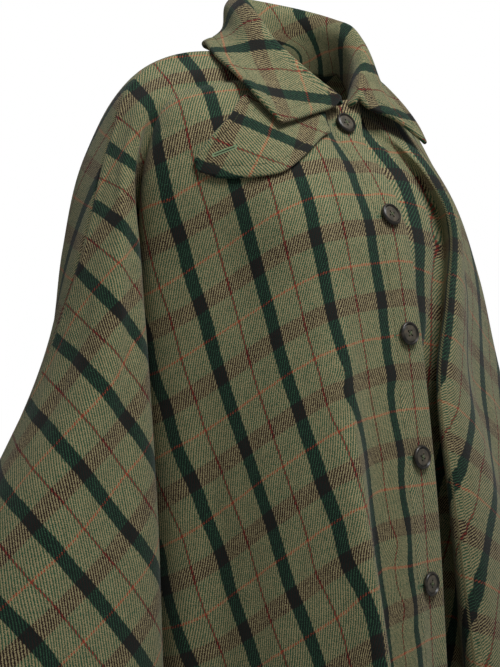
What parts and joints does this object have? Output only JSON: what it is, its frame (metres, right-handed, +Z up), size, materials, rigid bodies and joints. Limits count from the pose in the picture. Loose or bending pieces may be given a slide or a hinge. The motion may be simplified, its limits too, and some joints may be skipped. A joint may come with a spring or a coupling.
{
  "type": "cape",
  "caption": "Wool cape with a turned-down collar, a pointed throat tab and a buttoned front, hanging hollow as if worn, with deep folds in front of the arms.",
  "frame": {"origin": "middle of the neck at the height where the shoulders start, where the wearer's shoulders carry the cape", "axes": "+Z up, the front faces -Y, +X is the wearer's left"},
  "size_m": [0.9717, 0.4987, 0.8676],
  "materials": {
    "wool": "matte twill wool in a green plaid",
    "button": "dark horn look, satin"
  },
  "bodies": {
    "root": {"front_right": "wool", "front_left": "wool", "back": "wool", "collar": "wool", "throat_tab": "wool", "button_1": "button", "button_2": "button", "button_3": "button", "button_4": "button", "button_5": "button"}
  },
  "joints": []
}
